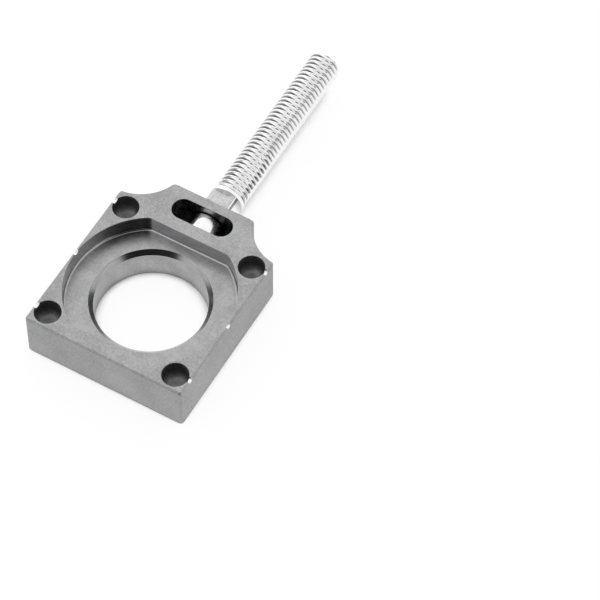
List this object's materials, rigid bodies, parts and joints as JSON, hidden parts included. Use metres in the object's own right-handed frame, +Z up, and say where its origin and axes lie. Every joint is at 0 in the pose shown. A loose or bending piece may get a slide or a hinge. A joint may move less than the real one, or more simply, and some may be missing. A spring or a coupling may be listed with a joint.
{
  "type": "motorcycle chain adjuster",
  "caption": "Rectangular light-alloy axle block with a flat-sided seat round its bore, corner sockets and a scalloped nose that holds a captive threaded adjuster stud.",
  "frame": {"origin": "on the axle bore's axis, on the block's underside", "axes": "+Z up along the axle bore, out of the seat for the axle's head; +Y along the adjuster stud towards its free end; +X to the right"},
  "size_m": [0.0392, 0.097, 0.012],
  "materials": {
    "blasted_alloy": "satin",
    "plated_steel": "gloss"
  },
  "bodies": {
    "block": {"axle_block": "blasted_alloy"},
    "stud": {"adjuster_stud": "plated_steel"}
  },
  "joints": [
    {"name": "stud_spin", "type": "hinge", "parent": "block", "child": "stud", "pos_m": [0, 0.0259, 0.006], "axis": [0, 1, 0], "continuous": true}
  ]
}
